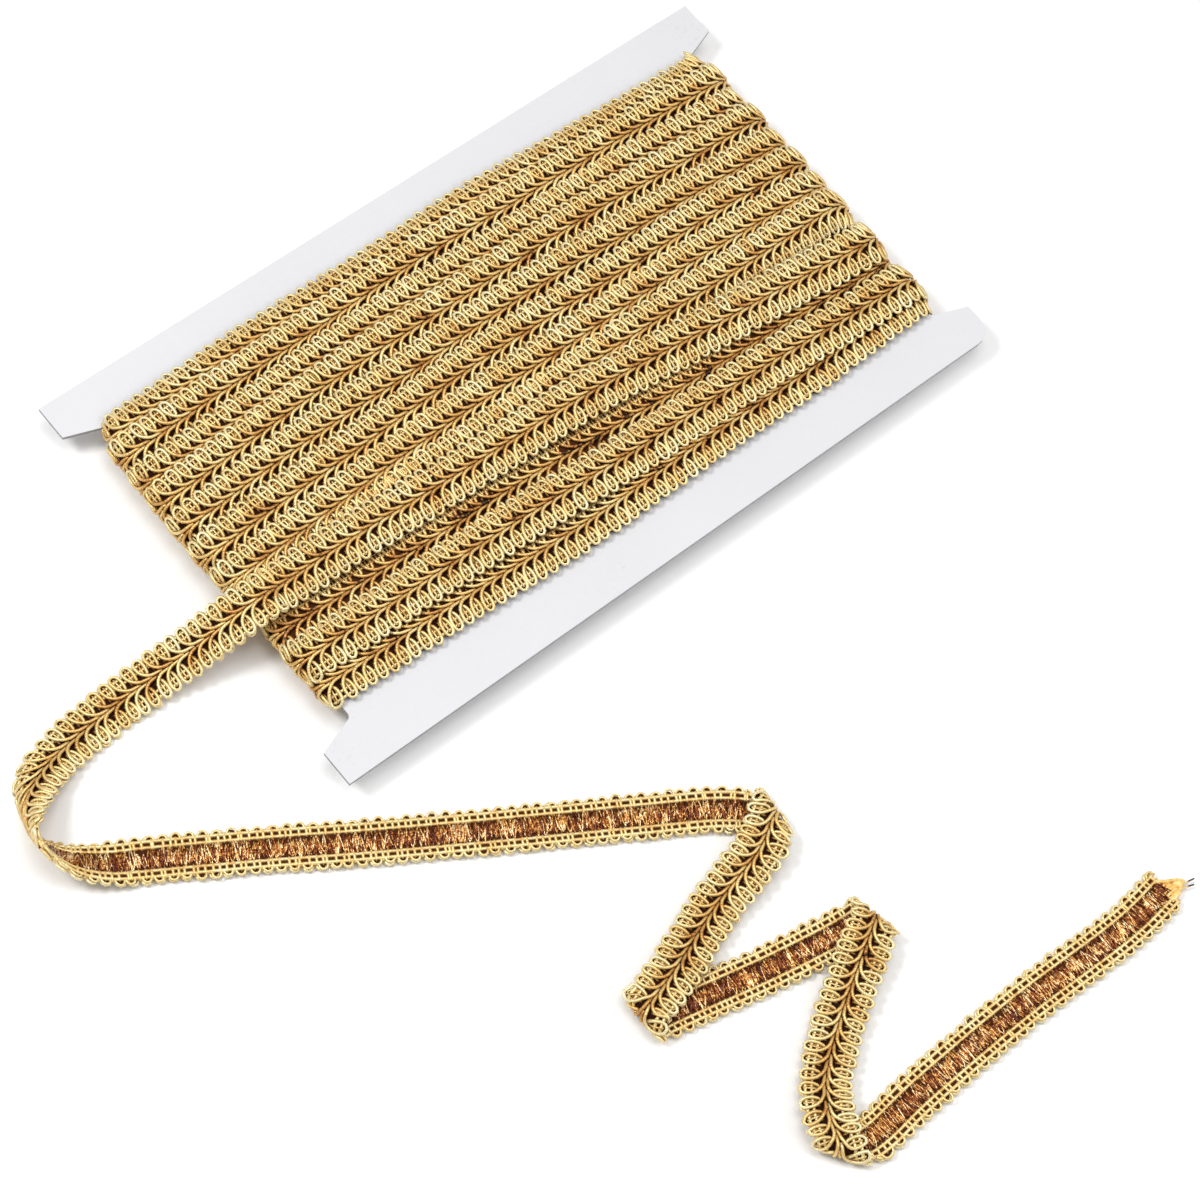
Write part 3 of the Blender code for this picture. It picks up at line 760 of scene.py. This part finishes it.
def add_cords(bundle, strip, start, end, kind, cord_grid, chance):
    """Straight cords along the strip, with a slight bead where yarn binds them."""
    sides, step = cord_grid
    along = np.arange(start, end, step * MM)
    for across in kind["acrosses"]:
        rise = kind["height"] + kind["bead"] * np.sin(along / (TIE_PITCH * MM) * math.pi)
        grid = along[None, :]
        paths, fronts = strip.at(grid, np.full_like(grid, across * MM), rise[None, :] * MM)
        share = abs(across) / (BRAID_HALF_WIDTH / MM)
        tones = np.stack([np.full(len(along), share),
                          kind["tone"] + kind["mottle"] * chance.uniform(-1, 1, len(along))],
                         axis=-1)
        bundle.add_tubes(paths, fronts, kind["radius"] * MM, sides, tones[None])


def add_ties(bundle, strip, start, end, chance):
    """Back of the braid: short yarns across each pair of cords, and round to the front."""
    for side in (1, -1):
        along = places_along(start, end, TIE_PITCH * MM)
        shift = chance.normal(0, TIE_SPREAD * MM, (len(along), 1))
        across, height = np.array(TIE_PATH).T * MM
        grid = along[:, None] + shift + np.zeros(len(across))
        paths, fronts = strip.at(grid, np.broadcast_to(side * across, grid.shape),
                                 np.broadcast_to(height, grid.shape))
        tones = np.full((*grid.shape, 2), TIE_TONES)
        bundle.add_tubes(paths, fronts, TIE_RADIUS * MM, TIE_SIDES, tones)


def add_zigzag(bundle, strip, start, end, chance):
    """Back of the braid: dense crossing yarns between the inner cords."""
    count = int((end - start) / MM / np.mean(ZIGZAG_STEP))
    for way in range(ZIGZAG_YARNS):
        along = np.cumsum(chance.uniform(*ZIGZAG_STEP, count))
        along = start / MM + along * ((end - start) / MM / along[-1])
        turn = np.where((np.arange(count) + way) % 2, 1.0, -1.0)
        across = turn * chance.uniform(*ZIGZAG_REACH, count)
        stray = chance.normal(0, 1, count).clip(-1, 1)
        height = ZIGZAG_HEIGHT + ZIGZAG_HEIGHT_SPREAD * stray
        tone = chance.uniform(*ZIGZAG_TONES, count)
        fine = smooth_rows(np.stack([along, across, height, tone], axis=1), ZIGZAG_POINTS)
        places = fine[None] * MM
        paths, fronts = strip.at(places[..., 0], places[..., 1], places[..., 2])
        tones = np.zeros((1, len(fine), 2))
        tones[..., 1] = fine[:, 3]
        bundle.add_tubes(paths, fronts, ZIGZAG_RADIUS * MM, ZIGZAG_SIDES, tones)


# Materials ------------------------------------------------

class Nodes:
    """Short way to build one material's nodes."""

    def __init__(self, name):
        self.material = bpy.data.materials.new(name)
        self.material.use_nodes = True
        self.tree = self.material.node_tree
        self.shader = self.tree.nodes["Principled BSDF"]

    def add(self, kind, links=(), **settings):
        """A new node, with values for its inputs and properties, and links into it."""
        node = self.tree.nodes.new(kind)
        for key, value in settings.items():
            if key in node.inputs:
                node.inputs[key].default_value = value
            else:
                setattr(node, key, value)
        for socket, source in links:
            self.tree.links.new(source, node.inputs[socket])
        return node

    def ramp(self, source, stops):
        """A colour for each value of the source."""
        node = self.add("ShaderNodeValToRGB", [("Fac", source)])
        elements = node.color_ramp.elements
        while len(elements) < len(stops):
            elements.new(1.0)
        for element, (place, colour) in zip(elements, stops):
            element.position = place
            element.color = (*colour, 1.0)
        return node.outputs["Color"]

    def math(self, operation, first, second=0.0):
        """One calculation, on numbers or on other nodes' outputs."""
        node = self.add("ShaderNodeMath", operation=operation)
        for socket, value in zip(node.inputs, (first, second)):
            if isinstance(value, (int, float)):
                socket.default_value = value
            else:
                self.tree.links.new(value, socket)
        return node.outputs["Value"]

    def times(self, first, second):
        return self.math("MULTIPLY", first, second)

    def minus(self, first, second):
        return self.math("SUBTRACT", first, second)

    def plus(self, total, *terms):
        for term in terms:
            total = self.math("ADD", total, term)
        return total

    def split(self, vector):
        return self.add("ShaderNodeSeparateXYZ", [("Vector", vector)]).outputs

    def mapped(self):
        """The UV map: X is millimetres along the piece, Y is the place across or round it."""
        return self.split(self.add("ShaderNodeUVMap").outputs["UV"])

    def tones(self):
        """The two tones that the pieces' meshes carry, as X and Y."""
        tone = self.add("ShaderNodeAttribute", attribute_name="tone")
        return self.split(tone.outputs["Vector"])

    def noise(self, scale, detail):
        place = self.add("ShaderNodeTexCoord").outputs["Object"]
        return self.add("ShaderNodeTexNoise", [("Vector", place)], Scale=scale,
                        Detail=detail).outputs["Fac"]

    def link(self, source, name):
        self.tree.links.new(source, self.shader.inputs[name])

    def colour(self, light, stops):
        self.link(self.ramp(light, stops), "Base Color")

    def set(self, name, value):
        self.shader.inputs[name].default_value = value

    def bump(self, height, strength, depth):
        node = self.add("ShaderNodeBump", [("Height", height)], Strength=strength,
                        Distance=depth)
        self.link(node.outputs["Normal"], "Normal")


def gold_yarn(name, stops, metallic, roughness, speck_scale, painted_glints, patchiness):
    """Foil-wrapped yarn: paler at the picots, amber at the spine, with a fine twist and fine
    specks of painted glint in its colour.
    """
    nodes = Nodes(name)
    tones = nodes.tones()
    patches = nodes.noise(PATCH_SCALE, detail=2.0)
    specks = nodes.noise(speck_scale, detail=1.0)
    # The specks add painted glints to the colour, and further down they also vary the roughness
    light = nodes.plus(nodes.times(tones["X"], ACROSS_WEIGHT),
                       nodes.times(tones["Y"], LIGHT_WEIGHT),
                       nodes.times(patches, patchiness), nodes.times(specks, painted_glints))
    nodes.colour(nodes.minus(light, (painted_glints + patchiness) / 2 - YARN_LIGHT), stops)

    mapped = nodes.mapped()
    twist = nodes.plus(nodes.times(mapped["X"], TWISTS_PER_MM), mapped["Y"])
    ridge = nodes.math("SINE", nodes.times(twist, 2 * math.pi))
    nodes.bump(ridge, YARN_BUMP, YARN_BUMP_DEPTH)
    rough = nodes.add("ShaderNodeMapRange", [("Value", specks)])
    rough.inputs["To Min"].default_value = roughness - SHINIER
    rough.inputs["To Max"].default_value = roughness + ROUGHER
    nodes.link(rough.outputs["Result"], "Roughness")
    nodes.set("Metallic", metallic)
    return nodes.material


def ground_cloth():
    """Weave under the loops, near-black from its own dark colour and painted shade, with gold
    yarns inside each ring on its front.
    """
    nodes = Nodes("Braid ground and painted shade")
    mapped, tones = nodes.mapped(), nodes.tones()
    near = nodes.math("LESS_THAN", mapped["Y"], 0.0)
    place = nodes.minus(nodes.times(mapped["X"], 1 / PITCH), nodes.times(near, 0.5))
    wave = nodes.math("COSINE", nodes.times(place, 2 * math.pi))
    band = nodes.math("ABSOLUTE", nodes.minus(wave, FILLING_CENTRE))
    filling = nodes.minus(1.0, nodes.times(band, 1 / FILLING_REACH))
    filling = nodes.times(nodes.math("MAXIMUM", filling, 0.0), tones["Y"])
    ring = nodes.ramp(tones["X"], FILLING_PLACES)
    weave = nodes.math("SINE", nodes.times(mapped["Y"], 2 * math.pi / WEAVE_PITCH))
    back = nodes.minus(1.0, tones["Y"])
    light = nodes.plus(nodes.times(filling, ring), nodes.times(weave, WEAVE_CONTRAST),
                       nodes.times(back, GROUND_BACK_LIGHT))
    nodes.colour(light, GROUND_AND_SHADE_STOPS)
    nodes.bump(weave, WEAVE_BUMP, WEAVE_BUMP_DEPTH)
    nodes.set("Roughness", 0.75)
    nodes.set("Specular IOR Level", 0.1)
    return nodes.material


def glued_yarn():
    """Amber yarns, melted into lumps at the cut end."""
    nodes = Nodes("Glued end")
    lumps = nodes.noise(scale=900.0, detail=3.0)
    nodes.colour(lumps, GLUE_STOPS)
    nodes.bump(lumps, strength=0.9, depth=0.4 * MM)
    nodes.set("Roughness", 0.28)
    return nodes.material


def white_board():
    """Smooth white board with a faint fibre and grey edges."""
    nodes = Nodes("White board")
    fibre = nodes.noise(scale=900.0, detail=4.0)
    cloud = nodes.noise(scale=30.0, detail=3.0)
    mixed = nodes.plus(nodes.times(fibre, FIBRE_WEIGHT), nodes.times(cloud, CLOUD_WEIGHT))
    normal = nodes.split(nodes.add("ShaderNodeNewGeometry").outputs["Normal"])
    side = nodes.minus(1.0, nodes.math("ABSOLUTE", normal["Z"]))
    nodes.colour(nodes.minus(mixed, nodes.times(side, EDGE_WEIGHT)), BOARD_STOPS)
    nodes.bump(fibre, strength=0.15, depth=0.05 * MM)
    nodes.set("Roughness", 0.45)
    return nodes.material


# Pieces ---------------------------------------------------

def dress_winding(strips, loops, ground):
    """All the wound braid, in pieces small enough to handle."""
    chance = np.random.default_rng(WINDING_SEED)
    made = []
    for name, strip, start, end in strips:
        bundle = Bundle()
        add_loops(bundle, strip, start, end, chance)
        made.append(bundle.make("loops_" + name, loops))
        below = Bundle()
        add_ground(below, strip, start, end, WOUND_GROUND_GRID)
        made.append(below.make("ground_" + name, ground))
        cords = Bundle()
        add_cords(cords, strip, start, end, FRONT_CORDS, WOUND_CORD_GRID, chance)
        made.append(cords.make("cords_" + name, loops))
    return made


def add_end_yarns(bundle, strip, end, yarns, radius, sides, dark_share):
    """Loose yarns from inside the cut end to beyond it."""
    share = np.linspace(0, 1, END_YARN_POINTS)
    for start_across, stop_across, reach in yarns:
        along = end + (END_YARN_ROOT - share * (reach + END_YARN_ROOT)) * MM
        across = start_across + (stop_across - start_across) * share ** 2
        wave = np.sin(END_YARN_BEND * share + start_across)
        height = END_YARN_HEIGHT + END_YARN_WAVE * wave
        paths, fronts = strip.at(along[None], across[None] * MM, height[None] * MM)
        tones = np.where(share[:, None] > 1 - dark_share, DARK_TONES, PLAIN_TONES)
        bundle.add_tubes(paths, fronts, radius * MM, sides, tones[None])


def dress_tail(strip, start, end, loops, ground, back, glue):
    """All of the tail: its ground, and the pieces that lie on both sides of it."""
    chance = np.random.default_rng(TAIL_SEED)
    sheet = Bundle()
    add_ground(sheet, strip, start + GROUND_LATER * PITCH * MM, end, TAIL_GROUND_GRID)
    tail = sheet.make("tail_ground", ground)
    front = Bundle()
    add_loops(front, strip, start, end, chance)
    add_cords(front, strip, start, end, FRONT_CORDS, TAIL_CORD_GRID, chance)
    loops_piece = front.make("tail_loops", loops)
    rear = Bundle()
    add_cords(rear, strip, start, end, BACK_CORDS, BACK_CORD_GRID, chance)
    add_ties(rear, strip, start, end, chance)
    add_picots(rear, strip, start, end, chance)
    add_end_yarns(rear, strip, start, **FRAYED)
    middle = Bundle()
    add_zigzag(middle, strip, start - ZIGZAG_EARLIER * PITCH * MM, end, chance)
    middle_piece = middle.make("tail_back_zigzag", back)
    rear_piece = rear.make("tail_back_cords", loops)
    sealed = Bundle()
    add_end_yarns(sealed, strip, start, **MELTED)
    sealed_piece = sealed.make("tail_sealed_end", glue)
    return tail, [loops_piece, rear_piece, middle_piece, sealed_piece]


def dress_card():
    """The card keeps its CAD mesh and gets its board."""
    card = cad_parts["card"]
    card.data.materials.clear()
    card.data.materials.append(white_board())


# Studio ---------------------------------------------------

def add_camera():
    """The photo's camera, rolled about the direction that it looks in."""
    forward = Vector((-math.sin(AZIMUTH) * math.cos(ELEVATION),
                      math.cos(AZIMUTH) * math.cos(ELEVATION), -math.sin(ELEVATION)))
    level = Vector((math.cos(AZIMUTH), math.sin(AZIMUTH), 0.0))
    upright = level.cross(forward)
    right = level * math.cos(ROLL) + upright * math.sin(ROLL)
    up = upright * math.cos(ROLL) - level * math.sin(ROLL)
    data = bpy.data.cameras.new("Camera")
    data.sensor_fit = "HORIZONTAL"
    data.sensor_width = FILM_WIDTH
    data.lens = FOCAL_LENGTH
    data.clip_start, data.clip_end = 0.01, 20.0
    camera = add_object("Camera", data)
    turned = Matrix((right, up, -forward)).transposed().to_4x4()
    place = Vector(VIEW_TARGET) - forward * VIEW_DISTANCE
    camera.matrix_world = Matrix.Translation(place) @ turned
    bpy.context.scene.camera = camera


def add_floor():
    mesh = bpy.data.meshes.new("Floor")
    corners = [(x * FLOOR_HALF, y * FLOOR_HALF, 0.0)
               for x, y in ((-1, -1), (1, -1), (1, 1), (-1, 1))]
    mesh.from_pydata(corners, [], [(0, 1, 2, 3)])
    nodes = Nodes("Studio floor")
    nodes.set("Base Color", FLOOR_COLOUR)
    nodes.set("Roughness", 0.9)
    nodes.set("Specular IOR Level", 0.0)
    mesh.materials.append(nodes.material)
    floor = add_object("Floor", mesh)
    floor.location.z = -FLOOR_DROP


def add_light(name, place, size, energy):
    data = bpy.data.lights.new(name, "AREA")
    data.shape = "DISK"
    data.size = size
    data.energy = energy
    light = add_object(name, data)
    light.location = place
    towards = Vector(VIEW_TARGET) - Vector(place)
    light.rotation_euler = towards.to_track_quat("-Z", "Y").to_euler()


def add_studio():
    add_camera()
    add_floor()
    world = bpy.data.worlds.new("Studio")
    world.use_nodes = True
    background = world.node_tree.nodes["Background"]
    background.inputs["Color"].default_value = (1.0, 1.0, 1.0, 1.0)
    background.inputs["Strength"].default_value = WORLD_STRENGTH
    bpy.context.scene.world = world
    for row in LIGHTS:
        add_light(*row)
    bpy.context.scene.view_settings.view_transform = "Standard"


def main():
    add_studio()
    loops = gold_yarn(**LOOP_YARN)
    back = gold_yarn(**BACK_YARN)
    ground = ground_cloth()

    last = tail_and_last_strip()
    middles, tilts, shapes = wound_path(FIRST_LENGTH, starts_tucked=True)
    wound = Strip(middles, across_wound(middles, tilts), shapes)
    whole = wound.length[-1]
    add_inner_turns(ground)
    strips = [("far", wound, END_MARGIN, whole / 3),
              ("middle", wound, whole / 3, whole * 2 / 3),
              ("near", wound, whole * 2 / 3, whole - END_MARGIN),
              ("last", last, 0.0, last.length[-1] - END_MARGIN)]
    pieces = dress_winding(strips, loops, ground)
    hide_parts("winding")

    # Along the last strip, 0 is where the tail leaves the winding, and its cut end is below 0
    cut = last.length[0] + END_RUN
    first_ring = math.ceil(cut / (PITCH * MM)) * PITCH * MM
    tail, with_tail = dress_tail(last, first_ring - YARN_BEFORE_RING * PITCH * MM, 0.0, loops,
                                 ground, back, glued_yarn())
    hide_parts("tail")

    dress_card()


main()
